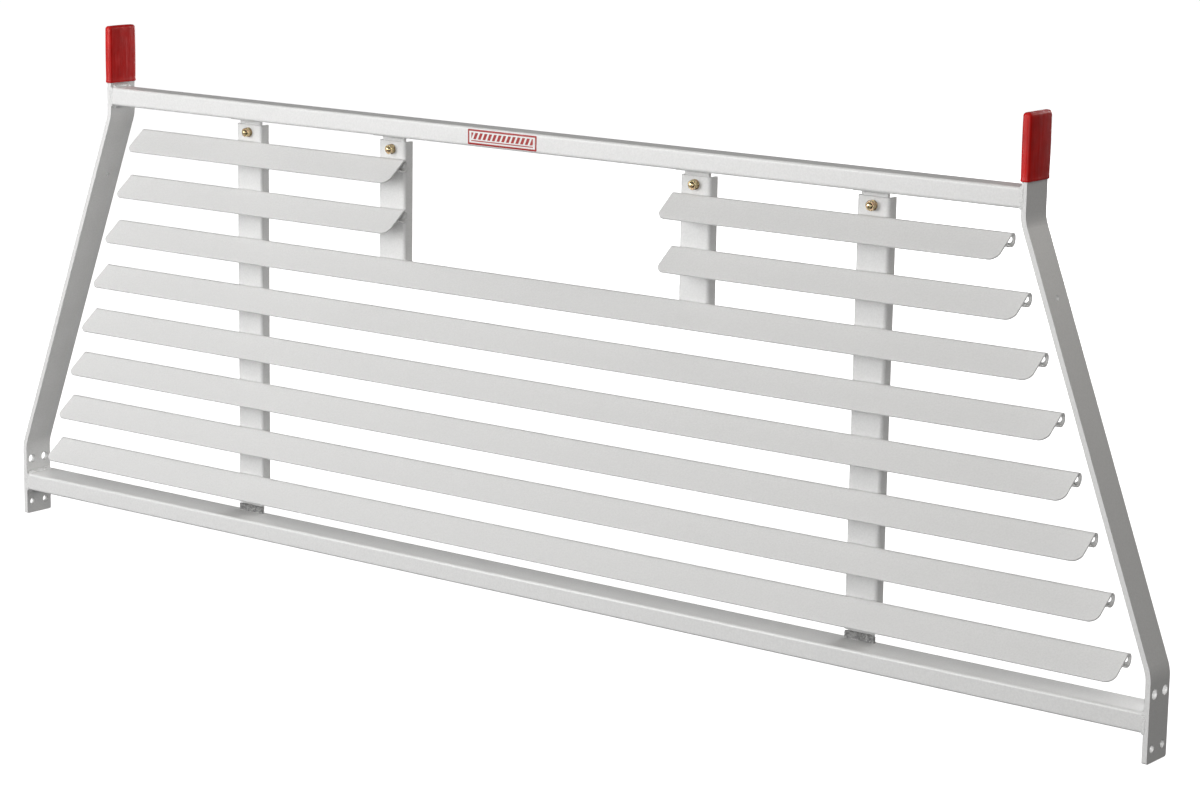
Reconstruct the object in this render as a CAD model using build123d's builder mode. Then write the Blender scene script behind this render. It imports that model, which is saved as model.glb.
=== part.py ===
from build123d import *
from math import cos, radians, sin, tan
import os

# Louvred headache rack for a pickup bed, millimetres.
# X runs across the truck, +Y points away from the louvred front, +Z is up.
# The origin is under the middle of the rack, level with the feet of the uprights.

# ---- uprights: flat bar on edge, leaning inwards between two bends
foot_half_width = 890.0       # outer face of an upright at the foot
head_half_width = 710.5       # outer face of an upright at the head
overall_height = 700.0        # foot to the top of the vinyl cap
bar_depth = 44.45
bar_t = 6.5
bend_radius = 45.0            # on the bar's centreline
bar_corner_r = 2.5
rail_hole_d = 12.0            # upper pair of holes, for the bed rail brackets
foot_hole_d = 9.5             # lower pair of holes
foot_hole_z = 16.0
hole_pitch = 24.0
tie_hole_d = 6.0              # square to the leaning length

# ---- rails
rail_height = 24.0
rail_wall = 2.0
rail_corner_r = 3.5
top_rail_depth = 31.75
bottom_rail_depth = 50.8
bottom_rail_z = 34.2          # underside

# ---- vinyl caps
cap_wall = 2.6
cap_edge_r = 4.5
cap_seat_gap = 5.9            # top rail to the lower end of a cap

# ---- heights set off from the rails
horn_height = 82.4            # top rail to the top of a cap
upper_bend_drop = 13.6        # top rail's underside to the upper bend
lower_bend_rise = 41.8        # bottom rail's top to the lower bend
rail_hole_rise = 19.8         # bottom rail's top to the upper pair of holes
tie_hole_drop = 84.0          # upper bend to the tie hole
post_top_gap = 11.1           # top rail's underside to the posts
post_foot_gap = 10.8          # bottom rail's top to the outer posts
first_crest_drop = 32.6       # top rail's underside to the first louvre's crest
last_crest_rise = 52.7        # bottom rail's top to the last louvre's crest

# ---- posts: C-channels with the web to the front
web_set_in = 10.8             # front of a web to the bottom rail's rear face
post_width = 44.45
post_depth = 15.0
post_t = 3.0
post_bend_r = 3.0             # on the channel's centreline
outer_post_x = 488.0
inner_post_x = 238.0
inner_post_tail = 26.0        # how far an inner post runs below the third row's crest

# ---- louvres: one bent sheet each, with a hooked back edge
sheet_t = 1.9
row_count = 8
split_rows = 2                # rows interrupted by the sight window
slope_deg = 37.84             # below horizontal, falling towards the front
slope_length = 50.6           # fold corner to lower edge
fold_r = 5.0
curl_r = 7.2
curl_deg = 20.0               # rise of the curled edge towards the front
curl_length = 15.9
hook_corner_drop = 22.6       # fold corner to curl corner
lower_corner_r = 12.0
end_gap = 34.8                # louvre end to the upright's inner face
window_overhang = 5.1         # short louvre's inner end past its post
slot_length = 16.0            # drain slot in the hook, near each end
slot_height = 8.0
slot_end_wall = 3.4
slot_drop = 8.4               # crest to slot centre

# ---- tabs and fasteners
tab_width = 35.0
tab_t = 5.0
tab_foot_t = 4.0
tab_foot_lap = 7.25           # under the top rail
bolt_inset = 10.2             # bolt to the end of its post
tab_tail = 14.0               # tab end past the bolt
bolt_d = 6.35
bolt_clearance = 0.3          # radial, bolt in its holes
hex_across = 11.11
nut_height = 5.56
head_height = 4.37
washer_d = 12.7
washer_t = 1.6
thread_stand_out = 3.0

# ---- weld beads and label
rail_weld_leg = 5.0
tab_weld_leg = 3.5
label_length = 108.0
label_height = 19.0
label_t = 0.3
label_x = -25.0

# ---- derived layout
bottom_rail_top = bottom_rail_z + rail_height
top_rail_z = overall_height - horn_height - rail_height
lower_bend_z = bottom_rail_top + lower_bend_rise
upper_bend_z = top_rail_z - upper_bend_drop
rail_hole_z = bottom_rail_top + rail_hole_rise
tie_hole_z = upper_bend_z - tie_hole_drop
lean = (foot_half_width - head_half_width) / (upper_bend_z - lower_bend_z)
web_y = bottom_rail_depth - web_set_in
post_rear_y = web_y + post_depth
front_y = -(post_rear_y - cap_wall) / 2
bar_centre_y = front_y + bar_depth / 2
post_top_z = top_rail_z - post_top_gap
outer_post_bottom_z = bottom_rail_top + post_foot_gap
window_half_width = inner_post_x - post_width / 2 - window_overhang
first_crest_z = top_rail_z - first_crest_drop
row_pitch = (first_crest_z - bottom_rail_top - last_crest_rise) / (row_count - 1)
tab_y = web_y + post_t
tab_foot_y = top_rail_depth - tab_foot_lap
post_bolt_z = post_top_z - bolt_inset
foot_bolt_z = outer_post_bottom_z + bolt_inset


def crest_z(row):
    return first_crest_z - (row - 1) * row_pitch


def bar_centre_x(z):
    return foot_half_width - bar_t / 2 - (z - lower_bend_z) * lean


def upright_inner_x(z):
    return bar_centre_x(z) - bar_t / 2 * (1 + lean**2) ** 0.5


def louvre_end_x(row):
    return upright_inner_x(crest_z(row)) - end_gap


def finish(part, label):
    part.label = label
    export_step(part, f"parts/{label}.step")


def mirrored(part, label):
    finish(part.mirror(Plane.YZ), label)


os.makedirs("parts", exist_ok=True)

# ---- uprights
bar_foot_x = foot_half_width - bar_t / 2
bar_head_x = head_half_width - bar_t / 2
bar_top_z = overall_height - cap_wall
across_lean = Plane(
    origin=(bar_centre_x(tie_hole_z), bar_centre_y, tie_hole_z),
    x_dir=(0, 1, 0),
    z_dir=(1, 0, lean),
)
with BuildPart() as upright:
    with BuildSketch(Plane.XZ.offset(-front_y)):
        with BuildLine():
            FilletPolyline(
                (bar_foot_x, 0),
                (bar_foot_x, lower_bend_z),
                (bar_head_x, upper_bend_z),
                (bar_head_x, bar_top_z),
                radius=bend_radius,
            )
        trace(line_width=bar_t)
    extrude(amount=-bar_depth)
    foot_edges = upright.edges().filter_by(Axis.X).group_by(Axis.Z)[0]
    fillet(foot_edges, radius=bar_corner_r)
    with BuildSketch(Plane.YZ):
        with Locations((bar_centre_y, rail_hole_z)):
            with GridLocations(hole_pitch, 1, 2, 1):
                Circle(rail_hole_d / 2)
        with Locations((bar_centre_y, foot_hole_z)):
            with GridLocations(hole_pitch, 1, 2, 1):
                Circle(foot_hole_d / 2)
    extrude(amount=foot_half_width + 1, mode=Mode.SUBTRACT)
    with BuildSketch(across_lean):
        Circle(tie_hole_d / 2)
    extrude(amount=bar_t, both=True, mode=Mode.SUBTRACT)
finish(upright.part, "upright_right")
mirrored(upright.part, "upright_left")

# ---- vinyl caps, closed at the top and open below
cap_height = horn_height - cap_seat_gap
cap_bottom_z = overall_height - cap_height
with BuildPart() as cap:
    with BuildSketch(Plane.XY.offset(cap_bottom_z)):
        with Locations((bar_head_x, bar_centre_y)):
            RectangleRounded(bar_t + 2 * cap_wall, bar_depth + 2 * cap_wall, cap_edge_r)
    extrude(amount=cap_height)
    cap_top_edges = cap.faces().sort_by(Axis.Z)[-1].edges()
    fillet(cap_top_edges, radius=cap_edge_r - 0.5)
    with BuildSketch(Plane.XY.offset(cap_bottom_z)):
        with Locations((bar_head_x, bar_centre_y)):
            Rectangle(bar_t, bar_depth)
    extrude(amount=cap_height - cap_wall, mode=Mode.SUBTRACT)
finish(cap.part, "cap_right")
mirrored(cap.part, "cap_left")


# ---- rails: rectangular tubes butted between the uprights
def rail(inner_half_width, depth, underside_z, label):
    with BuildPart() as tube:
        with BuildSketch(Plane.YZ.offset(-inner_half_width)):
            with Locations((front_y + depth / 2, underside_z + rail_height / 2)):
                RectangleRounded(depth, rail_height, rail_corner_r)
                RectangleRounded(
                    depth - 2 * rail_wall,
                    rail_height - 2 * rail_wall,
                    rail_corner_r - rail_wall,
                    mode=Mode.SUBTRACT,
                )
        extrude(amount=2 * inner_half_width)
    finish(tube.part, label)


rail(head_half_width - bar_t, top_rail_depth, top_rail_z, "top_rail")
rail(foot_half_width - bar_t, bottom_rail_depth, bottom_rail_z, "bottom_rail")


# ---- posts
def post(centre_x, bottom_z, bolt_heights, name):
    half = (post_width - post_t) / 2
    web_line_y = front_y + web_y + post_t / 2
    with BuildPart() as channel:
        with BuildSketch(Plane.XY.offset(bottom_z)):
            with BuildLine():
                FilletPolyline(
                    (centre_x - half, front_y + post_rear_y),
                    (centre_x - half, web_line_y),
                    (centre_x + half, web_line_y),
                    (centre_x + half, front_y + post_rear_y),
                    radius=post_bend_r,
                )
            trace(line_width=post_t)
        extrude(amount=post_top_z - bottom_z)
        with BuildSketch(Plane.XZ.offset(-(front_y + web_y - 1))):
            for bolt_z in bolt_heights:
                with Locations((centre_x, bolt_z)):
                    Circle(bolt_d / 2 + bolt_clearance)
        extrude(amount=-(post_t + 2), mode=Mode.SUBTRACT)
    finish(channel.part, f"post_{name}_right")
    mirrored(channel.part, f"post_{name}_left")


post(outer_post_x, outer_post_bottom_z, [post_bolt_z, foot_bolt_z], "outer")
post(inner_post_x, crest_z(3) - inner_post_tail, [post_bolt_z], "inner")


# ---- louvres
def louvre(row, from_x, to_x, label):
    crest = crest_z(row)
    leg_y = front_y + web_y - sheet_t / 2
    half_fold = radians(90 - slope_deg) / 2
    corner_z = crest - fold_r - sheet_t / 2 + fold_r / tan(half_fold)
    slope = radians(slope_deg)
    curl = radians(curl_deg)
    curl_corner_z = corner_z - hook_corner_drop
    lower_edge = (leg_y - slope_length * cos(slope), corner_z - slope_length * sin(slope))
    curl_end = (leg_y - curl_length * cos(curl), curl_corner_z + curl_length * sin(curl))
    with BuildPart() as sheet:
        with BuildSketch(Plane.YZ.offset(from_x)):
            with BuildLine() as profile:
                Polyline(lower_edge, (leg_y, corner_z), (leg_y, curl_corner_z), curl_end)
                fold_corner = profile.vertices().sort_by_distance((leg_y, corner_z))[0]
                fillet(fold_corner, radius=fold_r)
                curl_corner = profile.vertices().sort_by_distance((leg_y, curl_corner_z))[0]
                fillet(curl_corner, radius=curl_r)
            trace(line_width=sheet_t)
        extrude(amount=to_x - from_x)
        rims = sheet.edges().filter_by(lambda e: abs(e.length - sheet_t) < 0.01)
        fillet(rims.sort_by(Axis.Y)[:2], radius=lower_corner_r)
        slot_inset = slot_end_wall + slot_length / 2
        with BuildSketch(Plane.XZ.offset(-(leg_y - fold_r))):
            for slot_x in (from_x + slot_inset, to_x - slot_inset):
                with Locations((slot_x, crest - slot_drop)):
                    RectangleRounded(slot_length, slot_height, slot_height / 2 - 0.1)
        extrude(amount=-(fold_r + sheet_t), mode=Mode.SUBTRACT)
    finish(sheet.part, label)


for row in range(1, row_count + 1):
    end_x = louvre_end_x(row)
    if row <= split_rows:
        louvre(row, window_half_width, end_x, f"louvre_{row}_right")
        louvre(row, -end_x, -window_half_width, f"louvre_{row}_left")
    else:
        louvre(row, -end_x, end_x, f"louvre_{row}")


# ---- tabs: upper ones are angles under the top rail, lower ones stand on the bottom rail
def tab(centre_x, bolt_z, low_z, high_z, foot_y, name):
    with BuildPart() as plate:
        with BuildSketch(Plane.YZ.offset(centre_x - tab_width / 2)):
            with Locations((front_y + tab_y, low_z)):
                Rectangle(tab_t, high_z - low_z, align=(Align.MIN, Align.MIN))
            if foot_y < tab_y:
                with Locations((front_y + foot_y, high_z)):
                    Rectangle(tab_y + tab_t - foot_y, tab_foot_t, align=(Align.MIN, Align.MAX))
        extrude(amount=tab_width)
        with BuildSketch(Plane.XZ.offset(-(front_y + tab_y - 1))):
            with Locations((centre_x, bolt_z)):
                Circle(bolt_d / 2 + bolt_clearance)
        extrude(amount=-(tab_t + 2), mode=Mode.SUBTRACT)
    finish(plate.part, f"tab_{name}_right")
    mirrored(plate.part, f"tab_{name}_left")


tab(outer_post_x, post_bolt_z, post_bolt_z - tab_tail, top_rail_z, tab_foot_y, "upper_outer")
tab(inner_post_x, post_bolt_z, post_bolt_z - tab_tail, top_rail_z, tab_foot_y, "upper_inner")
tab(outer_post_x, foot_bolt_z, bottom_rail_top, foot_bolt_z + tab_tail, tab_y, "lower")

# ---- fasteners: heads and washers behind the tabs, washers and nuts in front of the webs
bolt_places = []
for side in (-1, 1):
    bolt_places.append((side * outer_post_x, post_bolt_z))
    bolt_places.append((side * inner_post_x, post_bolt_z))
    bolt_places.append((side * outer_post_x, foot_bolt_z))
tab_rear_y = front_y + tab_y + tab_t
web_front_y = front_y + web_y
head_y = tab_rear_y + washer_t
nut_y = web_front_y - washer_t
thread_end_y = nut_y - nut_height - thread_stand_out


def plane_facing_rear(y):
    return Plane.XZ.offset(-y)


with BuildPart() as bolts:
    with BuildSketch(plane_facing_rear(thread_end_y)):
        with Locations(*bolt_places):
            Circle(bolt_d / 2)
    extrude(amount=-(head_y - thread_end_y))
    with BuildSketch(plane_facing_rear(head_y)):
        with Locations(*bolt_places):
            RegularPolygon(hex_across / 2, 6, major_radius=False)
    extrude(amount=-head_height)
finish(bolts.part, "bolts")

with BuildPart() as nuts:
    with BuildSketch(plane_facing_rear(nut_y - nut_height)):
        with Locations(*bolt_places):
            RegularPolygon(hex_across / 2, 6, major_radius=False)
            Circle(bolt_d / 2 + bolt_clearance, mode=Mode.SUBTRACT)
    extrude(amount=-nut_height)
finish(nuts.part, "nuts")

with BuildPart() as washers:
    for seat_y in (nut_y, tab_rear_y):
        with BuildSketch(plane_facing_rear(seat_y)):
            with Locations(*bolt_places):
                Circle(washer_d / 2)
                Circle(bolt_d / 2 + bolt_clearance, mode=Mode.SUBTRACT)
        extrude(amount=-washer_t)
finish(washers.part, "washers")


# ---- weld beads, each a fillet of triangular section
rail_joints = [
    (head_half_width - bar_t, top_rail_depth, top_rail_z),
    (foot_half_width - bar_t, bottom_rail_depth, bottom_rail_z),
]
tab_joints = [
    (outer_post_x, bottom_rail_top, 1),
    (outer_post_x, top_rail_z - tab_foot_t, -1),
    (inner_post_x, top_rail_z - tab_foot_t, -1),
]
tab_front_y = front_y + tab_y
with BuildPart() as welds:
    for side in (-1, 1):
        for half_width, depth, underside_z in rail_joints:
            x = side * half_width
            for z, lift in ((underside_z, -1), (underside_z + rail_height, 1)):
                with BuildSketch(plane_facing_rear(front_y + rail_corner_r)):
                    with BuildLine():
                        Polyline(
                            (x, z),
                            (x - side * rail_weld_leg, z),
                            (x, z + lift * rail_weld_leg),
                            close=True,
                        )
                    make_face()
                extrude(amount=2 * rail_corner_r - min(depth, bar_depth))
        for post_x, corner_z, lift in tab_joints:
            with BuildSketch(Plane.YZ.offset(side * post_x - tab_width / 2)):
                with BuildLine():
                    Polyline(
                        (tab_front_y, corner_z),
                        (tab_front_y - tab_weld_leg, corner_z),
                        (tab_front_y, corner_z + lift * tab_weld_leg),
                        close=True,
                    )
                make_face()
            extrude(amount=tab_width)
finish(welds.part, "welds")

# ---- label plate on the front of the top rail
with BuildPart() as label:
    with BuildSketch(Plane.XZ.offset(-front_y)):
        with Locations((label_x, top_rail_z + rail_height / 2)):
            Rectangle(label_length, label_height)
    extrude(amount=label_t)
finish(label.part, "label")
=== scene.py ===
"""Finishes, fasteners, weld beads, caps and stage for a louvred headache rack.

The rack stands on the ground with +X across the truck, +Y away from the louvred
front and +Z up. Every length is in metres.
"""

from math import pi, radians

import bmesh
import bpy
import numpy as np
from bpy.props import FloatProperty, FloatVectorProperty, PointerProperty
from mathutils import Matrix, Vector


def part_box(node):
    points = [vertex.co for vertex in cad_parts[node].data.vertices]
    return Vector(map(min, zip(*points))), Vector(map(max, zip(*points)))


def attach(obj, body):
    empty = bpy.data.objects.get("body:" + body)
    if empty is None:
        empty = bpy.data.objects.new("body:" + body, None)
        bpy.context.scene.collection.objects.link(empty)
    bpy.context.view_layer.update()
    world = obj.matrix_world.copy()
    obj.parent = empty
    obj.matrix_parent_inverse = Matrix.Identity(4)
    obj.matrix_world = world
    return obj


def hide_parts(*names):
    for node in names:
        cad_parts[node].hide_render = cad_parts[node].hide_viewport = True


bl_info = {
    "name": "Louvred Headache Rack",
    "version": (1, 0, 0),
    "blender": (4, 5, 0),
    "location": "3D View > Sidebar > Headache Rack",
    "description": "Powder coat, vinyl caps, plated fasteners and weld beads",
    "category": "Object",
}

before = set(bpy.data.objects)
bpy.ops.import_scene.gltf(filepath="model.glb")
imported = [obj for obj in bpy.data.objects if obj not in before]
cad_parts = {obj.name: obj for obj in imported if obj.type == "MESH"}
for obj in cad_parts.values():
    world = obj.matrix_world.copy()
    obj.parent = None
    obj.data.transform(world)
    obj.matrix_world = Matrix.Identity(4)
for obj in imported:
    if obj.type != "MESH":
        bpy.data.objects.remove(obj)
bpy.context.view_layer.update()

SIDES = ("right", "left")
STEEL = [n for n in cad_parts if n.startswith(("upright", "louvre", "post", "tab"))]
STEEL += ["top_rail", "bottom_rail"]
TOP_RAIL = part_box("top_rail")
BOTTOM_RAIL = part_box("bottom_rail")
RAIL_CORNER = 0.0035            # outer radius of the rails' long edges
TAB_THICK = 0.005
TAB_FOOT_THICK = 0.004          # the foot of an upper tab, under the top rail

FORWARD = (0.0, -1.0, 0.0)
BACK = (0.0, 1.0, 0.0)
UP = (0.0, 0.0, 1.0)
DOWN = (0.0, 0.0, -1.0)


# ---------------------------------------------------------------- settings
class RackFinish(bpy.types.PropertyGroup):
    """Colours and surface sizes of the four finishes."""

    coat_colour: FloatVectorProperty(
        name="Powder coat", description="White gloss powder coat",
        subtype="COLOR", size=3, min=0, max=1, default=(0.80, 0.80, 0.795))
    coat_roughness: FloatProperty(
        name="Coat roughness", description="Roughness of the powder coat",
        subtype="FACTOR", min=0, max=1, default=0.34)
    peel_size: FloatProperty(
        name="Orange peel", description="Width of one swell of the orange peel",
        unit="LENGTH", min=0.0005, max=0.01, default=0.0028)
    peel_depth: FloatProperty(
        name="Peel depth", description="Height of the orange peel",
        unit="LENGTH", min=0, max=0.0002, default=0.000096)
    edge_radius: FloatProperty(
        name="Coated edge", description="Radius the coat gives to a cut edge",
        unit="LENGTH", min=0.0001, max=0.002, default=0.0006)
    vinyl_colour: FloatVectorProperty(
        name="Vinyl", description="Dip-moulded vinyl of the caps",
        subtype="COLOR", size=3, min=0, max=1, default=(0.62, 0.004, 0.002))
    zinc_colour: FloatVectorProperty(
        name="Yellow zinc", description="Plating on bolts, nuts and washers",
        subtype="COLOR", size=3, min=0, max=1, default=(0.62, 0.52, 0.30))
    label_colour: FloatVectorProperty(
        name="Label ink", description="Red ink of the plain label",
        subtype="COLOR", size=3, min=0, max=1, default=(0.40, 0.004, 0.002))


class RackDetail(bpy.types.PropertyGroup):
    """Sizes of the fine pieces."""

    thread_pitch: FloatProperty(
        name="Thread pitch", description="1/4 inch coarse thread",
        unit="LENGTH", min=0.0005, max=0.003, default=0.00127)
    thread_depth: FloatProperty(
        name="Thread depth", description="Crest to root",
        unit="LENGTH", min=0.0002, max=0.0015, default=0.0007)
    bolt_size: FloatProperty(
        name="Bolt", description="Diameter of the bolts",
        unit="LENGTH", min=0.004, max=0.01, default=0.00635)
    hex_across: FloatProperty(
        name="Hexagon", description="Width over the flats of heads and nuts",
        unit="LENGTH", min=0.007, max=0.02, default=0.01111)
    head_height: FloatProperty(
        name="Head", description="Height of a bolt's head",
        unit="LENGTH", min=0.002, max=0.01, default=0.00437)
    washer_size: FloatProperty(
        name="Washer", description="Diameter of the washers",
        unit="LENGTH", min=0.008, max=0.02, default=0.0127)
    washer_thick: FloatProperty(
        name="Washer thickness", description="Thickness of the washers",
        unit="LENGTH", min=0.001, max=0.003, default=0.0016)
    bead_leg: FloatProperty(
        name="Rail bead leg", description="Leg of the fillet bead at a rail's end",
        unit="LENGTH", min=0.002, max=0.008, default=0.005)
    tab_bead_leg: FloatProperty(
        name="Tab bead leg", description="Leg of the fillet bead at a tab",
        unit="LENGTH", min=0.001, max=0.006, default=0.0035)
    ripple_pitch: FloatProperty(
        name="Ripple pitch", description="Spacing of the ripples along a bead",
        unit="LENGTH", min=0.0008, max=0.005, default=0.0022)
    cap_wall: FloatProperty(
        name="Cap wall", description="Vinyl thickness above the rolled lip",
        unit="LENGTH", min=0.0008, max=0.0026, default=0.0023)


class RackStage(bpy.types.PropertyGroup):
    """Camera and lights."""

    lens: FloatProperty(
        name="Lens", description="Focal length on a 36 mm wide sensor",
        subtype="DISTANCE_CAMERA", min=20, max=200, default=97.35)
    eye: FloatVectorProperty(
        name="Eye", description="Where the camera stands",
        subtype="TRANSLATION", unit="LENGTH", size=3, default=(2.4671, -3.0890, 1.0910))
    yaw: FloatProperty(
        name="Yaw", description="Turn of the view from +Y towards -X",
        subtype="ANGLE", default=0.6514)
    pitch: FloatProperty(
        name="Pitch", description="Rise of the view above level",
        subtype="ANGLE", default=-0.2015)
    roll: FloatProperty(
        name="Roll", description="Clockwise tilt of the picture",
        subtype="ANGLE", default=0.0162)
    floor_size: FloatProperty(
        name="Floor", description="Half width of the pale floor",
        unit="LENGTH", min=5, max=60, default=30.0)


# ---------------------------------------------------------------- mesh helpers
def grid_faces(rows, cols, wrap_rows=False, wrap_cols=False, first=0):
    """Quads of a rows by cols grid of points: each joins a point, its right-hand
    neighbour and the two below them, going round where the grid wraps."""
    r = np.arange(rows if wrap_rows else rows - 1)[:, None]
    c = np.arange(cols if wrap_cols else cols - 1)[None, :]
    r1, c1 = (r + 1) % rows, (c + 1) % cols
    quads = np.stack([r * cols + c, r * cols + c1, r1 * cols + c1, r1 * cols + c], -1)
    return quads.reshape(-1, 4) + first


def make_piece(name, grids, material, sharp=35.0, wrap_rows=False):
    """One closed mesh from grids of points whose columns wrap round, doubles merged
    at the poles and seams. Edges that turn more than sharp degrees stay crisp."""
    points, faces, first = [], [], 0
    for grid in grids:
        rows, cols = grid.shape[:2]
        points.append(grid.reshape(-1, 3))
        faces.append(grid_faces(rows, cols, wrap_rows, True, first))
        first += rows * cols
    points, faces = np.concatenate(points), np.concatenate(faces)
    mesh = bpy.data.meshes.new(name)
    mesh.from_pydata(points.tolist(), [], faces.tolist())
    work = bmesh.new()
    work.from_mesh(mesh)
    bmesh.ops.remove_doubles(work, verts=work.verts, dist=1e-6)
    bmesh.ops.dissolve_degenerate(work, edges=work.edges, dist=1e-7)
    bmesh.ops.recalc_face_normals(work, faces=work.faces)
    work.to_mesh(mesh)
    work.free()
    mesh.polygons.foreach_set("use_smooth", np.ones(len(mesh.polygons), bool))
    mesh.set_sharp_from_angle(angle=radians(sharp))
    mesh.materials.append(material)
    piece = bpy.data.objects.new(name, mesh)
    bpy.context.scene.collection.objects.link(piece)
    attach(piece, "root")
    return piece


def points_of(mesh):
    """A mesh's points, one row of x, y and z each."""
    co = np.empty(len(mesh.vertices) * 3, np.float32)
    mesh.vertices.foreach_get("co", co)
    return co.reshape(-1, 3).astype(float)


def axes_of(node):
    """Middle of each fastener of a group node, with its front and rear Y: the
    node's points are sorted into cells, each wide enough for one fastener."""
    cell_x, cell_z = 0.1, 0.25
    co = points_of(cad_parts[node].data)
    cells = np.round(co[:, 0] / cell_x) * 100 + np.round(co[:, 2] / cell_z)
    found = []
    for cell in np.unique(cells):
        part = co[cells == cell]
        low, high = part.min(0), part.max(0)
        found.append(((low[0] + high[0]) / 2, (low[2] + high[2]) / 2, low[1], high[1]))
    return found


def turned(radii, places, x, z):
    """A surface turned about an axis along Y through (x, z). Each grid of radii has
    one column per angle, and places says where along the axis its rows lie."""
    radius = np.concatenate(radii)
    along = np.concatenate([place + 0 * r for r, place in zip(radii, places)])
    angle = np.linspace(0, 2 * pi, radius.shape[1], endpoint=False)[None, :]
    return np.stack([x + radius * np.cos(angle), along, z + radius * np.sin(angle)], -1)


def hexagon(cols, across, turn):
    """Radius of a hexagon at each angle: half the width over flats divided by the
    cosine of the angle from the nearest flat's middle."""
    angle = np.linspace(0, 2 * pi, cols, endpoint=False) + turn
    from_flat = (angle + pi / 6) % (pi / 3) - pi / 6
    return across / 2 / np.cos(from_flat)


# ---------------------------------------------------------------- material helpers
class Shader:
    """Builds one procedural material on Object coordinates."""

    def __init__(self, name):
        self.material = bpy.data.materials.new(name)
        self.material.use_nodes = True
        self.tree = self.material.node_tree
        self.tree.nodes.clear()
        self.out = self.node("ShaderNodeOutputMaterial")
        self.body = self.node("ShaderNodeBsdfPrincipled")
        self.link(self.body.outputs[0], self.out.inputs[0])
        self.place = self.node("ShaderNodeTexCoord").outputs["Object"]

    def node(self, kind, **values):
        made = self.tree.nodes.new(kind)
        for key, value in values.items():
            if hasattr(made, key):
                setattr(made, key, value)
            else:
                made.inputs[key.replace("_", " ")].default_value = value
        return made

    def link(self, a, b):
        self.tree.links.new(a, b)

    def noise(self, size, detail=2.0, rough=0.5, stretch=None):
        """Noise whose swells are about size across."""
        made = self.node("ShaderNodeTexNoise", Scale=1 / size, Detail=detail, Roughness=rough)
        place = self.place
        if stretch:
            turn = self.node("ShaderNodeMapping")
            turn.inputs["Scale"].default_value = stretch
            self.link(place, turn.inputs["Vector"])
            place = turn.outputs[0]
        self.link(place, made.inputs["Vector"])
        return made.outputs["Fac"]

    def ranged(self, value, low, high, new_low, new_high):
        made = self.node("ShaderNodeMapRange")
        for i, number in enumerate((low, high, new_low, new_high), 1):
            made.inputs[i].default_value = number
        self.link(value, made.inputs[0])
        return made.outputs[0]

    def math(self, operation, a, b=None):
        made = self.node("ShaderNodeMath", operation=operation)
        for socket, value in zip(made.inputs, (a, b)):
            if value is None:
                continue
            if isinstance(value, (int, float)):
                socket.default_value = value
            else:
                self.link(value, socket)
        return made.outputs[0]

    def between(self, value, low, high):
        """1 where value lies between low and high, otherwise 0."""
        above = self.math("GREATER_THAN", value, low)
        return self.math("MULTIPLY", above, self.math("LESS_THAN", value, high))

    def mixed(self, factor, a, b):
        """Colour a where factor is 0 and colour b where it is 1."""
        made = self.node("ShaderNodeMix", data_type="RGBA")
        self.link(factor, made.inputs["Factor"])
        for socket, value in ((made.inputs[6], a), (made.inputs[7], b)):
            if isinstance(value, (tuple, list)):
                socket.default_value = tuple(value)[:3] + (1,)
            else:
                self.link(value, socket)
        return made.outputs[2]

    def bump(self, height, distance, normal=None):
        made = self.node("ShaderNodeBump", Distance=distance)
        self.link(height, made.inputs["Height"])
        if normal:
            self.link(normal, made.inputs["Normal"])
        return made.outputs[0]

    def set(self, **values):
        for key, value in values.items():
            self.body.inputs[key.replace("_", " ")].default_value = value


def shade(colour, factor):
    return tuple(min(1.0, c * factor) for c in colour)


def powder_coat(finish):
    """White gloss powder coat: orange peel, cut edges rounded by the coat with painted shade along
    them and in bends, faint clouding.
    """
    s = Shader("white_powder_coat_gloss")
    colour = tuple(finish.coat_colour)
    cloud = s.ranged(s.noise(0.16, 2), 0.25, 0.75, 0, 1)
    base = s.mixed(cloud, colour, shade(colour, 0.985))
    grain = s.ranged(s.noise(0.0021, 2, 0.65), 0.35, 0.65, 0, 1)
    base = s.mixed(grain, base, shade(colour, 0.93))
    rounded = s.node("ShaderNodeBevel", samples=6, Radius=finish.edge_radius)
    geometry = s.node("ShaderNodeNewGeometry")
    facing = s.node("ShaderNodeVectorMath", operation="DOT_PRODUCT")
    s.link(rounded.outputs[0], facing.inputs[0])
    s.link(geometry.outputs["Normal"], facing.inputs[1])
    edge = s.ranged(facing.outputs["Value"], 0.99, 0.8, 0, 1)
    # Painted shade: the coat darkens towards 0.62 along every edge and bend the bevel finds, mottled
    # by noise.
    edge_shade = s.math("MULTIPLY", edge, s.ranged(s.noise(0.006, 3), 0.35, 0.7, 0.45, 1.0))
    base = s.mixed(edge_shade, base, shade(colour, 0.62))
    speck = s.ranged(s.noise(0.0016, 1), 0.72, 0.8, 0, 0.35)
    base = s.mixed(speck, base, shade(colour, 0.86))
    s.link(base, s.body.inputs["Base Color"])
    low, high = finish.coat_roughness - 0.02, finish.coat_roughness + 0.03
    s.link(s.ranged(s.noise(0.03, 3), 0.3, 0.7, low, high), s.body.inputs["Roughness"])
    peel = s.bump(s.noise(finish.peel_size, 2), finish.peel_depth, rounded.outputs[0])
    fine = s.bump(s.noise(finish.peel_size / 3.5, 1), finish.peel_depth / 6, peel)
    s.link(fine, s.body.inputs["Normal"])
    s.set(IOR=1.48, Coat_Weight=0.12, Coat_Roughness=0.18)
    return s.material


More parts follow.
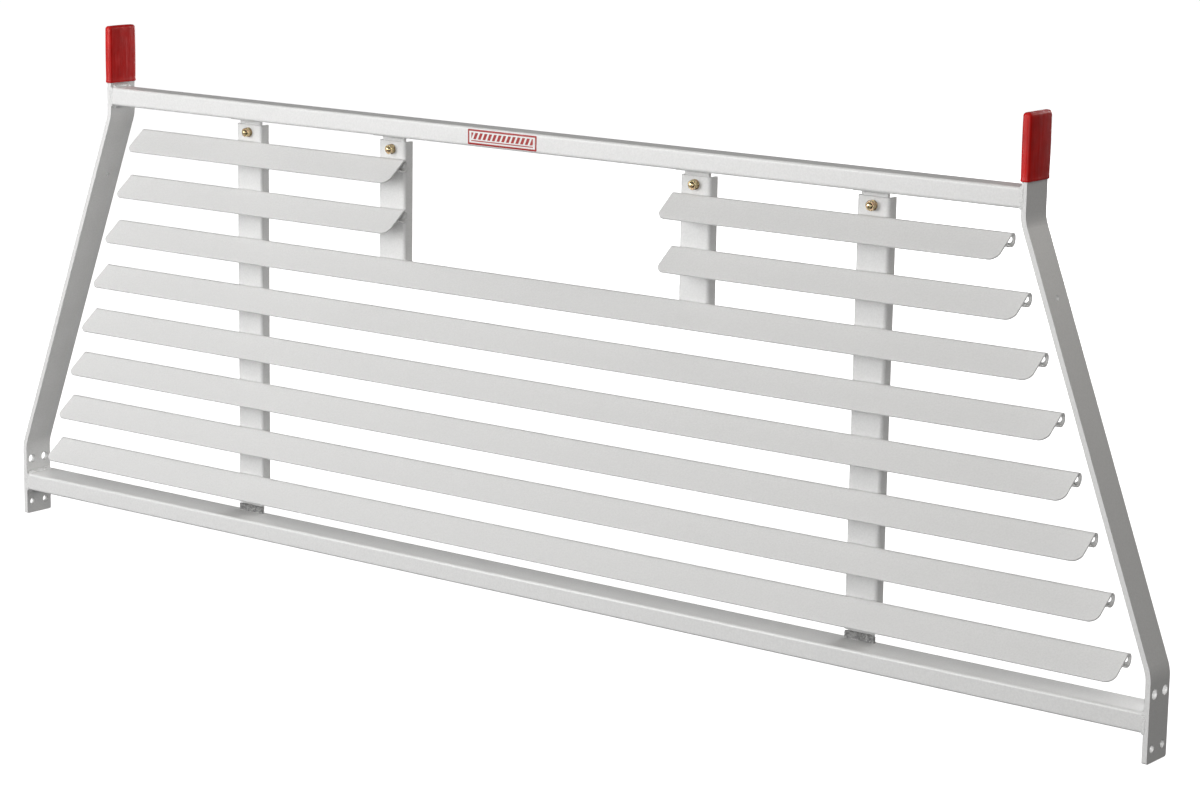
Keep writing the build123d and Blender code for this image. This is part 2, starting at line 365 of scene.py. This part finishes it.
def bead_coat(finish, name="white_powder_coat_bead", tone=1.0):
    """The same powder coat over a weld bead, with a little spatter; a tone under 1 darkens the whole
    coat as painted shade and deepens the crust."""
    s = Shader(name)
    # Painted shade: a tone under 1 darkens the bead's colour as if it sat in shadow.
    colour = shade(finish.coat_colour, tone)
    deep = shade(colour, 0.9 * tone)
    base = s.mixed(s.ranged(s.noise(0.003, 4, 0.65), 0.42, 0.58, 0, 1), colour, deep)
    s.link(base, s.body.inputs["Base Color"])
    s.link(s.ranged(s.noise(0.005, 3), 0.3, 0.7, 0.26, 0.42), s.body.inputs["Roughness"])
    crust = s.bump(s.noise(0.0032, 3), 0.0024 * (1.3 - tone))
    rough = s.bump(s.noise(0.0016, 3), 0.0004, crust)
    s.link(rough, s.body.inputs["Normal"])
    s.set(IOR=1.5, Coat_Weight=0.1, Coat_Roughness=0.2)
    return s.material


def vinyl(finish):
    """Dip-moulded vinyl: satin, faint runs down its length, a few dull scuffs."""
    s = Shader("red_dip_vinyl")
    colour = tuple(finish.vinyl_colour)
    runs = s.noise(0.006, 3, stretch=(1, 1, 0.15))
    tone = s.mixed(s.ranged(s.noise(0.02, 4), 0.3, 0.7, 0, 1), colour, shade(colour, 0.78))
    scuff = s.ranged(s.noise(0.0035, 5, 0.7), 0.62, 0.72, 0, 0.3)
    tone = s.mixed(scuff, tone, shade(colour, 1.3))
    s.link(tone, s.body.inputs["Base Color"])
    s.link(s.ranged(s.noise(0.009, 4), 0.3, 0.7, 0.32, 0.46), s.body.inputs["Roughness"])
    grain = s.bump(s.noise(0.0012, 2), 0.00006)
    s.link(s.bump(runs, 0.0005, grain), s.body.inputs["Normal"])
    s.set(IOR=1.36, Coat_Weight=0.06, Coat_Roughness=0.2)
    return s.material


def yellow_zinc(finish):
    """Yellow chromate over zinc: gold with drifting rose and green, fine scratches, painted shade in
    the hollows.
    """
    s = Shader("yellow_zinc_plate")
    colour = tuple(finish.zinc_colour)
    rose = (colour[0] * 1.05, colour[1] * 0.82, colour[2] * 0.9)
    green = (colour[0] * 0.84, colour[1] * 0.98, colour[2] * 0.75)
    tone = s.mixed(s.ranged(s.noise(0.004, 3), 0.35, 0.65, 0, 1), colour, rose)
    tone = s.mixed(s.ranged(s.noise(0.0027, 3, 0.6), 0.5, 0.75, 0, 0.8), tone, green)
    grime = s.ranged(s.noise(0.0012, 4), 0.6, 0.75, 0, 0.5)
    tone = s.mixed(grime, tone, shade(colour, 0.4))
    # Painted shade: the plate darkens almost to black where ambient occlusion finds a hollow, in the
    # threads and round the heads.
    open_sky = s.node("ShaderNodeAmbientOcclusion", samples=8, Distance=0.004)
    hollow_shade = s.ranged(open_sky.outputs["AO"], 0.35, 0.95, 0.92, 0)
    tone = s.mixed(hollow_shade, tone, shade(colour, 0.08))
    s.link(tone, s.body.inputs["Base Color"])
    s.link(s.ranged(s.noise(0.002, 4), 0.3, 0.7, 0.14, 0.3), s.body.inputs["Roughness"])
    s.link(s.bump(s.noise(0.0005, 2), 0.00003), s.body.inputs["Normal"])
    s.set(Metallic=1.0)
    return s.material


# ---------------------------------------------------------------- operators
class RACK_OT_steel(bpy.types.Operator):
    """Powder-coats the uprights, rails, posts, louvres and tabs"""

    bl_idname = "rack.steel"
    bl_label = "Powder-coat Steel"

    def execute(self, context):
        coat = powder_coat(context.scene.rack_finish)
        for name in STEEL:
            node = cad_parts[name]
            for i in range(len(node.material_slots)):
                node.material_slots[i].material = coat
        return {"FINISHED"}


def rounded_ring(half_x, half_y, radius, steps=8):
    """Outline of a rectangle with rounded corners: four quarter circles about
    centres set in from the corners by the radius."""
    radius = min(radius, half_x, half_y)
    quarter = np.linspace(0, pi / 2, steps)
    turns = np.array([0, pi / 2, pi, 3 * pi / 2])[:, None]
    angle = (turns + quarter[None, :]).reshape(-1)
    sx = np.repeat([1, -1, -1, 1], steps)
    sy = np.repeat([1, 1, -1, -1], steps)
    x = sx * (half_x - radius) + radius * np.cos(angle)
    y = sy * (half_y - radius) + radius * np.sin(angle)
    return np.stack([x, y], -1)


def cap_rings(bar, box, wall, lip):
    """Rings of a dip-moulded cap, each (half x, half y, corner radius, height, scale):
    up the inside, round the rolled lip, up the outside, over the rounded shoulder and
    in to the middle of the top."""
    hx, hy = bar
    low, high = box
    seat = high - lip
    inner_r, outer_r, top_r = 0.0004, 0.0040, 0.0005
    shoulder, crown, taper, swell = 0.0042, 0.0004, 0.0045, 0.00018
    rings = [(hx, hy, inner_r, seat, 0.0), (hx, hy, inner_r, seat, 1.0)]
    rings.append((hx, hy, inner_r, low + lip / 2, 1.0))
    roll = np.linspace(0, pi, 9)
    grow = (1 - np.cos(roll)) / 2
    drop = low + lip / 2 * (1 - np.sin(roll))
    for g, z in zip(grow[1:], drop[1:]):
        r = inner_r + (outer_r + lip - wall - inner_r) * g
        rings.append((hx + g * lip, hy + g * lip, r, z, 1.0))
    neck = low + lip / 2 + taper
    for t in np.linspace(0, 1, 5)[1:]:
        w = lip + (wall - lip) * (3 * t * t - 2 * t**3)
        rings.append((hx + w, hy + w, outer_r + w - wall, low + lip / 2 + taper * t, 1.0))
    turn = high - shoulder - crown
    belly = swell * np.sin(np.linspace(0, pi, 14)[1:])
    for z, b in zip(np.linspace(neck, turn, 14)[1:], belly):
        rings.append((hx + wall + b, hy + wall + b, outer_r, z, 1.0))
    for a in np.linspace(0, pi / 2, 11)[1:]:
        inset = shoulder * (1 - np.cos(a))
        r = max(outer_r - inset, top_r)
        rings.append((hx + wall - inset, hy + wall - inset, r, turn + shoulder * np.sin(a), 1.0))
    for k in (0.75, 0.5, 0.25, 0.0):
        z = high - crown * k * k
        rings.append((hx + wall - shoulder, hy + wall - shoulder, top_r, z, k))
    return rings


class RACK_OT_caps(bpy.types.Operator):
    """Dips the vinyl caps: rolled lip, thinner wall and rounded top"""

    bl_idname = "rack.caps"
    bl_label = "Vinyl Caps"

    def execute(self, context):
        material = vinyl(context.scene.rack_finish)
        wall = context.scene.rack_detail.cap_wall
        for side in SIDES:
            node = f"cap_{side}"
            low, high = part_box(node)
            lip = high[2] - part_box(f"upright_{side}")[1][2]
            middle = (low + high) / 2
            bar = ((high[0] - low[0]) / 2 - lip, (high[1] - low[1]) / 2 - lip)
            rows = []
            for hx, hy, r, z, k in cap_rings(bar, (low[2], high[2]), wall, lip):
                ring = rounded_ring(hx, hy, r) * k
                rows.append(np.column_stack(
                    [ring + [middle[0], middle[1]], np.full(len(ring), z)]))
            piece = make_piece(f"vinyl_cap_{side}", [np.array(rows)], material, 60)
            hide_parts(node)
        return {"FINISHED"}


def bolt_surface(detail, x, z, front, rear, thread_end, turn):
    """A bolt, from its threaded tip at the front to its head at the rear.

    Along the thread the radius is the bolt's, less the thread's depth where a clipped
    triangle wave is low, and never more than a taper over the tip. The wave's phase is
    place over pitch, less the share of a full turn, which makes it a helix. The head is
    a hexagon whose corners are cut by a cone towards its rear face."""
    cols, rows = 48, 96
    taper, chamfer = 0.001, 0.0009
    angle = np.linspace(0, 2 * pi, cols, endpoint=False)[None, :]
    major, across = detail.bolt_size / 2, detail.hex_across
    tip = major * 0.7
    head_front = rear - detail.head_height
    y = np.linspace(front + 0.0001, thread_end, rows)[:, None]
    phase = ((y - front) / detail.thread_pitch - angle / (2 * pi)) % 1.0
    vee = np.clip(np.abs(phase - 0.5) * 2.6 - 0.2, 0, 1)
    point = np.clip((y - front) / taper, 0, 1)
    thread = np.minimum(major - detail.thread_depth * (1 - vee), tip + (major - tip) * point)
    plain = major + 0 * angle
    hexed = hexagon(cols, across, turn)[None, :]
    radii = [0 * angle, tip * 0.9 + 0 * angle, thread, plain, plain, hexed * 0.97, hexed]
    places = [front, front, y, thread_end + 0.0004, head_front, head_front, head_front + 0.0003]
    crown = np.linspace(0, 1, 6)[:, None]
    cone = across * (0.492 + (1 - crown) * 0.1)
    radii += [np.minimum(hexed, cone), across * 0.457 + 0 * angle, 0 * angle]
    places += [rear - chamfer + crown * chamfer, rear - 0.00005, rear - 0.00015]
    return turned(radii, places, x, z)


def nut_surface(detail, x, z, front, rear, turn):
    """A nut: a hexagon whose corners are cut by a cone at both faces, round a bore
    countersunk at both ends. The profile runs out over the front face, along the flats
    and back in over the rear face."""
    cols = 72
    chamfer, sink = 0.0009, 0.0006
    flat = np.zeros((1, cols))
    across = detail.hex_across
    hole = detail.bolt_size / 2 + 0.00008
    hexed = hexagon(cols, across, turn)[None, :]
    t = np.linspace(0, 1, 7)[:, None]
    cut = np.minimum(hexed, across * (0.48 + 0.103 * t))
    bore, sunk, ring = hole + flat, hole + sink + flat, across * 0.48 + flat
    radii = [bore, sunk, ring, cut, hexed, cut[::-1], ring, sunk, bore]
    places = [front + sink, front, front, front + chamfer * t, (front + rear) / 2]
    places += [rear - chamfer * t[::-1], rear, rear, rear - sink]
    return turned(radii, places, x, z)


def washer_surface(detail, x, z, front):
    """A washer: a flat ring, its front rim a quarter circle of the edge's radius."""
    cols = 64
    edge, burr = 0.0005, 0.0004
    flat = np.zeros((1, cols))
    rim = detail.washer_size / 2
    hole = detail.bolt_size / 2 + 0.0003
    rear = front + detail.washer_thick
    a = np.linspace(0, pi / 2, 5)[:, None]
    outer = rim - edge * (1 - np.sin(a))
    radii = [hole + flat, hole + burr + flat, outer + flat, rim + flat, hole + flat]
    places = [front + burr, front, front + edge * (1 - np.cos(a)), rear, rear]
    return turned(radii, places, x, z)


class RACK_OT_bolts(bpy.types.Operator):
    """Cuts the bolts: chamfered hex heads, shanks and helical threads"""

    bl_idname = "rack.bolts"
    bl_label = "Bolts"

    def execute(self, context):
        detail = context.scene.rack_detail
        material = yellow_zinc(context.scene.rack_finish)
        nuts = {(round(x, 3), round(z, 3)): rear for x, z, _, rear in axes_of("nuts")}
        grids = []
        for i, (x, z, front, rear) in enumerate(axes_of("bolts")):
            thread_end = nuts[(round(x, 3), round(z, 3))] + 0.001
            grids.append(bolt_surface(detail, x, z, front, rear, thread_end, i * 1.3))
        piece = make_piece("zinc_bolts", grids, material, 30)
        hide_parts("bolts")
        return {"FINISHED"}


class RACK_OT_nuts(bpy.types.Operator):
    """Cuts the nuts: hexagons turned down at both faces, with countersunk bores"""

    bl_idname = "rack.nuts"
    bl_label = "Nuts"

    def execute(self, context):
        detail = context.scene.rack_detail
        material = bpy.data.materials["yellow_zinc_plate"]
        grids = [
            nut_surface(detail, *nut, 0.4 + i * 0.9) for i, nut in enumerate(axes_of("nuts"))]
        piece = make_piece("zinc_nuts", grids, material, 30, wrap_rows=True)
        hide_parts("nuts")
        return {"FINISHED"}


class RACK_OT_washers(bpy.types.Operator):
    """Punches the washers: rounded on the punched side, with a slight burr"""

    bl_idname = "rack.washers"
    bl_label = "Washers"

    def execute(self, context):
        detail = context.scene.rack_detail
        material = bpy.data.materials["yellow_zinc_plate"]
        grids = []
        for x, z, front, rear in axes_of("washers"):
            for near in (front, rear - detail.washer_thick):
                grids.append(washer_surface(detail, x, z, near))
        piece = make_piece("zinc_washers", grids, material, 30, wrap_rows=True)
        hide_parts("washers")
        return {"FINISHED"}


def fillet_bead(path, along_a, along_b, leg, pitch, seed, swell=0.16):
    """A fillet weld on a path: a corner line with one leg along each plate and a
    swollen face between them. The size is the leg times 1 plus crescents, a rectified
    sine of place over pitch that lags in the middle of the face, and plus half a slow
    random wander. It rises on a circle over the first 0.8 of a leg, at both ends."""
    rng = np.random.default_rng(seed)
    rows = len(path)
    run = np.concatenate([[0], np.cumsum(np.linalg.norm(np.diff(path, axis=0), axis=1))])
    left = run[-1] - run
    end = np.clip(np.minimum(run, left) / (0.8 * leg), 0, 1)
    end = np.sqrt(1 - (1 - end) ** 2)
    wander = np.interp(run, np.linspace(0, run[-1], 14), rng.normal(0, 0.08, 14))
    t = np.linspace(0, 1, 11)
    lag = 0.45 * (1 - (2 * t - 1) ** 2)
    ripple = np.abs(np.sin(pi * (run[:, None] / pitch - lag[None, :] + wander[:, None])))
    size = leg * end[:, None] * (1 + wander[:, None] * 0.5 + 0.10 * (ripple**0.7 - 0.6))
    bulge = swell * np.sin(pi * t)[None, :]
    a = size * ((1 - t)[None, :] + bulge)
    b = size * (t[None, :] + bulge)
    sunk = path - 0.0003 * (along_a + along_b)
    face = sunk[:, None] + a[..., None] * along_a[:, None] + b[..., None] * along_b[:, None]
    heel = sunk[:, None]
    return np.concatenate([heel, face], 1).reshape(rows, -1, 3)


def straight(start, end, step=0.00035):
    """Points along a line, about step apart."""
    count = max(24, int(np.linalg.norm(np.subtract(end, start)) / step))
    return np.linspace(start, end, count)


def facing(direction, path):
    """The same direction at every point of a path."""
    return np.tile(direction, (len(path), 1))


def rail_beads(side, rail, upright_rear, leg, pitch, seed):
    """Beads round a rail's end: from its front edge over the top, down behind it where
    the upright reaches past it, and back underneath. The path is straight runs joined
    by quarter circles of the rail's corner radius."""
    low, high = rail
    x = high[0] if side > 0 else low[0]
    front, rear, r = low[1] + RAIL_CORNER, high[1], RAIL_CORNER
    if rear < upright_rear - leg:
        quarter = np.linspace(0, pi / 2, 12)[1:-1, None]
        over = np.concatenate([0 * quarter, np.sin(quarter), np.cos(quarter)], 1)
        round_under = np.concatenate([0 * quarter, np.cos(quarter), -np.sin(quarter)], 1)
        top = straight((0, front, high[2]), (0, rear - r, high[2]))
        behind = straight((0, rear, high[2] - r), (0, rear, low[2] + r))
        under = straight((0, rear - r, low[2]), (0, front, low[2]))
        path = np.concatenate([
            top, [0, rear - r, high[2] - r] + r * over, behind,
            [0, rear - r, low[2] + r] + r * round_under, under])
        outward = np.concatenate([
            facing(UP, top), over, facing(BACK, behind), round_under, facing(DOWN, under)])
        runs = [(path, outward)]
    else:
        end = upright_rear - 0.001
        top = straight((0, front, high[2]), (0, end, high[2]))
        under = straight((0, end, low[2]), (0, front, low[2]))
        runs = [(top, facing(UP, top)), (under, facing(DOWN, under))]
    grids = []
    for i, (path, outward) in enumerate(runs):
        inward = facing((-float(side), 0.0, 0.0), path)
        grids.append(fillet_bead(path + [x, 0, 0], inward, outward, leg, pitch, seed + i))
    return grids


def front_seam(side, rail, pitch, seed):
    """The flush seam up the front of a rail's end: a low half ellipse across the joint,
    with the bead's ripples bowed across it and a width that wanders. Both fade on a
    curve of the sixth power towards the seam's ends."""
    rise, half_width, sunk, depth = 0.0006, 0.0031, 0.0001, 0.0006
    low, high = rail
    x = high[0] if side > 0 else low[0]
    z = np.linspace(low[2] - 0.001, high[2] + 0.001, 80)
    u = (z - z[0]) / (z[-1] - z[0])
    end = np.sqrt(np.clip(1 - (2 * u - 1) ** 6, 0, 1))
    t = np.linspace(-1, 1, 13)
    rng = np.random.default_rng(seed)
    wander = np.interp(u, np.linspace(0, 1, 8), rng.normal(0, 0.12, 8))
    ripple = np.abs(np.sin(pi * (z[:, None] / pitch + 0.4 * t[None, :] ** 2)))
    height = rise * end[:, None] * np.sqrt(1 - t[None, :] ** 2) * (0.75 + 0.25 * ripple)
    width = half_width * (1 + wander) * (0.4 + 0.6 * end)
    face = np.stack([
        x + width[:, None] * t[None, :], low[1] - height + sunk, z[:, None] + 0 * height], -1)
    back = face[:, 1:-1][:, ::-1] * [1, 0, 1] + [0, low[1] + depth, 0]
    return np.concatenate([face, back], 1)


def tab_root(name, lift, spread):
    """Where a tab's front meets its rail, above it (lift 1) or below it (lift -1),
    carried past the tab's sides by spread."""
    low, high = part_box(name)
    y = high[1] - TAB_THICK
    z = low[2] if lift > 0 else high[2] - TAB_FOOT_THICK
    return straight((low[0] - spread, y, z), (high[0] + spread, y, z))


def foot_layers(path, leg, pitch, index):
    """A bead at a lower tab's root and three thinner ones laid over it, each a step
    up the tab and with its own pitch and swell."""
    forward, up = facing(FORWARD, path), facing(UP, path)
    beads = [fillet_bead(path, forward, up, leg, pitch * 0.9, 90 + index, 0.22)]
    for k, (pace, swell) in enumerate(((0.8, 0.5), (1.15, 0.6), (0.95, 0.5)), 1):
        layer = path + [0.0, -leg * 0.1, k * leg * 0.62]
        seed = 120 + 7 * index + k
        beads.append(fillet_bead(layer, forward, up, leg * 0.8, pitch * pace, seed, swell))
    return beads


class RACK_OT_welds(bpy.types.Operator):
    """Lays the rippled weld beads at the rails' ends and at the tabs"""

    bl_idname = "rack.welds"
    bl_label = "Weld Beads"

    def execute(self, context):
        detail = context.scene.rack_detail
        material = bead_coat(context.scene.rack_finish)
        leg, pitch = detail.bead_leg, detail.ripple_pitch
        upright_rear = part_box("upright_right")[1][1]
        grids, seams, feet = [], [], []
        for i, rail in enumerate((TOP_RAIL, BOTTOM_RAIL)):
            for j, side in enumerate((1, -1)):
                seed = 10 * i + 3 * j + 1
                grids += rail_beads(side, rail, upright_rear, leg, pitch, seed)
                seams.append(front_seam(side, rail, pitch, seed + 50))
        leg = detail.tab_bead_leg
        upper = [f"tab_upper_{place}_{side}" for place in ("outer", "inner") for side in SIDES]
        for i, name in enumerate(upper):
            path = tab_root(name, -1, -0.0005)
            forward, down = facing(FORWARD, path), facing(DOWN, path)
            grids.append(fillet_bead(path, forward, down, leg, pitch * 0.9, 90 + i, 0.22))
        for i, side in enumerate(SIDES, len(upper)):
            feet += foot_layers(tab_root(f"tab_lower_{side}", 1, 0.004), leg, pitch, i)
        beads = make_piece("weld_beads", grids, material, 50)
        make_piece("front_seams", seams, material, 50)
        # Painted shade: the foot beads under the lowest louvre take the bead coat at half tone,
        # darkened as if in shadow.
        thin = bead_coat(context.scene.rack_finish, "white_powder_coat_bead_shaded", 0.5)
        make_piece("foot_beads", feet, thin, 50)
        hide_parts("welds")
        return {"FINISHED"}


def label_film(finish):
    """Printed film: white ground, red frame, a band of slanted red blocks and a thin
    rule. The UV map is in metres from the label's middle."""
    frame_from = (0.0517, 0.0072)
    print_half = 0.0485
    block_pitch, block_share, block_lean = 0.0074, 0.6, 0.45
    band_low, band_high = -0.0026, 0.0054
    rule_low, rule_high = -0.0053, -0.0040
    ground_light, ground_dull = (0.83, 0.82, 0.81), (0.79, 0.78, 0.77)
    s = Shader("label_film_print")
    ink = tuple(finish.label_colour)
    uv = s.node("ShaderNodeUVMap", uv_map="flat").outputs[0]
    parts = s.node("ShaderNodeSeparateXYZ")
    s.link(uv, parts.inputs[0])
    u, v = parts.outputs[0], parts.outputs[1]
    across, up = s.math("ABSOLUTE", u), s.math("ABSOLUTE", v)
    frame_u = s.math("GREATER_THAN", across, frame_from[0])
    frame_v = s.math("GREATER_THAN", up, frame_from[1])
    border = s.math("MAXIMUM", frame_u, frame_v)
    inside = s.math("LESS_THAN", across, print_half)
    slant = s.math("SUBTRACT", u, s.math("MULTIPLY", v, block_lean))
    beat = s.math("FRACT", s.math("DIVIDE", slant, block_pitch))
    blocks = s.math("LESS_THAN", beat, block_share)
    band = s.between(v, band_low, band_high)
    rule = s.between(v, rule_low, rule_high)
    marks = s.math("MAXIMUM", s.math("MULTIPLY", band, blocks), rule)
    red = s.math("MAXIMUM", border, s.math("MULTIPLY", marks, inside))
    ground = s.mixed(s.ranged(s.noise(0.01, 3), 0.35, 0.65, 0, 1), ground_light, ground_dull)
    inked = s.mixed(s.ranged(s.noise(0.0015, 3), 0.35, 0.7, 0, 1), ink, shade(ink, 0.75))
    s.link(s.mixed(red, ground, inked), s.body.inputs["Base Color"])
    s.link(s.ranged(s.noise(0.004, 3), 0.3, 0.7, 0.35, 0.5), s.body.inputs["Roughness"])
    s.link(s.bump(s.noise(0.002, 2), 0.00003), s.body.inputs["Normal"])
    s.set(IOR=1.48)
    return s.material


class RACK_OT_label(bpy.types.Operator):
    """Sticks on the plain label: thin film with rounded corners that follows the rail,
    flat on its front and then a circle of the rail's corner radius"""

    bl_idname = "rack.label"
    bl_label = "Label"

    def execute(self, context):
        low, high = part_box("label")
        half_u, half_v = (high[0] - low[0]) / 2, (high[2] - low[2]) / 2
        middle = (low + high) / 2
        corner, film, gap = 0.0012, 0.00024, 0.00008
        flat_half = (TOP_RAIL[1][2] - TOP_RAIL[0][2]) / 2 - RAIL_CORNER
        face = np.array([
            rounded_ring(half_u * k, half_v * k, corner * k, 6) for k in np.linspace(0, 1, 7)])
        over = np.clip(np.abs(face[..., 1]) - flat_half, 0, None)
        dip = RAIL_CORNER - np.sqrt(RAIL_CORNER**2 - over**2)
        front = np.stack([
            middle[0] + face[..., 0], low[1] + gap + dip, middle[2] + face[..., 1]], -1)
        rim = front[-1:] + [0, film, 0]
        back = front[::-1] + [0, film, 0]
        grid = np.concatenate([front, rim, back[1:]])
        material = label_film(context.scene.rack_finish)
        piece = make_piece("label_panel", [grid], material, 40)
        mesh = piece.data
        corners = np.empty(len(mesh.loops), np.int32)
        mesh.loops.foreach_get("vertex_index", corners)
        flat = points_of(mesh)[corners][:, [0, 2]] - [middle[0], middle[2]]
        uv = mesh.uv_layers.new(name="flat")
        uv.data.foreach_set("uv", flat.astype(np.float32).reshape(-1))
        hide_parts("label")
        return {"FINISHED"}


# ---------------------------------------------------------------- stage
def look(stage):
    """Camera frame from yaw, pitch and roll: forward, then right, then up."""
    y, p, r = stage.yaw, stage.pitch, stage.roll
    forward = Vector((-np.sin(y) * np.cos(p), np.cos(y) * np.cos(p), np.sin(p)))
    right = forward.cross(Vector((0, 0, 1))).normalized()
    up = right.cross(forward)
    right, up = np.cos(r) * right + np.sin(r) * up, -np.sin(r) * right + np.cos(r) * up
    turn = Matrix((right, up, -forward)).transposed().to_4x4()
    return Matrix.Translation(Vector(stage.eye)) @ turn


LIGHT_AIM = Vector((0, 0, 0.35))        # the rack's middle
WARM = ("fill_high", "rim")
SOFTBOXES = (
    # name, place, width, height, watts
    ("key_low", (-3.2, -3.6, 0.9), 2.4, 1.8, 26.0),
    ("key_high", (-2.6, -3.2, 3.0), 2.4, 1.8, 48.0),
    ("key_near", (-1.2, -2.5, 1.0), 1.6, 1.2, 38.0),
    ("fill_low", (2.6, -4.2, 1.0), 2.4, 1.8, 60.0),
    ("fill_high", (2.4, -3.2, 3.2), 2.4, 1.8, 24.0),
    ("rim", (2.6, 3.6, 2.2), 2.4, 1.8, 20.0),
    ("rear", (0.0, 4.6, 1.2), 2.4, 1.8, 175.0),
    ("overhead", (0.0, 0.2, 4.4), 3.2, 2.4, 14.0),
)


class RACK_OT_stage(bpy.types.Operator):
    """Sets the camera, the pale floor and the soft studio lights"""

    bl_idname = "rack.stage"
    bl_label = "Stage"

    def execute(self, context):
        stage = context.scene.rack_stage
        camera = bpy.data.objects.new("camera", bpy.data.cameras.new("camera"))
        camera.data.sensor_fit = "HORIZONTAL"
        camera.data.sensor_width = 36.0
        camera.data.lens = stage.lens
        camera.data.clip_end = 200.0
        camera.matrix_world = look(stage)
        context.scene.collection.objects.link(camera)
        context.scene.camera = camera

        half, lines, drop = stage.floor_size, 25, 0.0004
        line = np.linspace(-half, half, lines)
        x, y = np.meshgrid(line, line)
        points = np.stack([x, y, np.full_like(x, -drop)], -1)
        mesh = bpy.data.meshes.new("floor")
        mesh.from_pydata(points.reshape(-1, 3).tolist(), [], grid_faces(lines, lines).tolist())
        floor = bpy.data.objects.new("floor", mesh)
        context.scene.collection.objects.link(floor)
        s = Shader("pale_floor")
        light_grey, dull_grey = (0.6, 0.6, 0.6), (0.58, 0.58, 0.58)
        s.link(s.mixed(s.noise(0.8, 2), light_grey, dull_grey), s.body.inputs["Base Color"])
        s.set(Roughness=0.9, Emission_Color=(1, 1, 1, 1), Emission_Strength=0.95)
        mesh.materials.append(s.material)
        floor.visible_diffuse = False
        floor.visible_glossy = False

        for name, place, width, height, watts in SOFTBOXES:
            light = bpy.data.lights.new(name, "AREA")
            light.shape = "RECTANGLE"
            light.size, light.size_y = width, height
            light.energy = watts
            if name in WARM:
                light.color = (1.0, 0.955, 0.88)
            lamp = bpy.data.objects.new(name, light)
            lamp.location = place
            towards = LIGHT_AIM - Vector(place)
            lamp.rotation_euler = towards.to_track_quat("-Z", "Y").to_euler()
            context.scene.collection.objects.link(lamp)

        world = bpy.data.worlds.new("studio")
        world.use_nodes = True
        background = world.node_tree.nodes["Background"].inputs
        background["Color"].default_value = (1, 1, 1, 1)
        background["Strength"].default_value = 0.09
        context.scene.world = world
        context.scene.view_settings.view_transform = "Standard"
        return {"FINISHED"}


class RACK_PT_build(bpy.types.Panel):
    """Lists the pieces in the order they are made"""

    bl_idname = "RACK_PT_build"
    bl_label = "Headache Rack"
    bl_space_type = "VIEW_3D"
    bl_region_type = "UI"
    bl_category = "Headache Rack"

    def draw(self, context):
        column = self.layout.column(align=True)
        for operator in OPERATORS:
            column.operator(operator.bl_idname)
        for group in (context.scene.rack_finish, context.scene.rack_detail, context.scene.rack_stage):
            box = self.layout.box()
            for key in group.bl_rna.properties.keys():
                if key not in ("rna_type", "name"):
                    box.prop(group, key)


OPERATORS = (
    RACK_OT_stage, RACK_OT_steel, RACK_OT_caps, RACK_OT_bolts,
    RACK_OT_nuts, RACK_OT_washers, RACK_OT_welds, RACK_OT_label,
)
GROUPS = (RackFinish, RackDetail, RackStage)


def register():
    for cls in GROUPS + OPERATORS + (RACK_PT_build,):
        bpy.utils.register_class(cls)
    bpy.types.Scene.rack_finish = PointerProperty(type=RackFinish)
    bpy.types.Scene.rack_detail = PointerProperty(type=RackDetail)
    bpy.types.Scene.rack_stage = PointerProperty(type=RackStage)


def unregister():
    del bpy.types.Scene.rack_stage
    del bpy.types.Scene.rack_detail
    del bpy.types.Scene.rack_finish
    for cls in reversed(GROUPS + OPERATORS + (RACK_PT_build,)):
        bpy.utils.unregister_class(cls)


def main():
    register()
    bpy.ops.rack.stage()
    bpy.ops.rack.steel()
    bpy.ops.rack.caps()
    bpy.ops.rack.bolts()
    bpy.ops.rack.nuts()
    bpy.ops.rack.washers()
    bpy.ops.rack.welds()
    bpy.ops.rack.label()


if __name__ == "__main__":
    main()
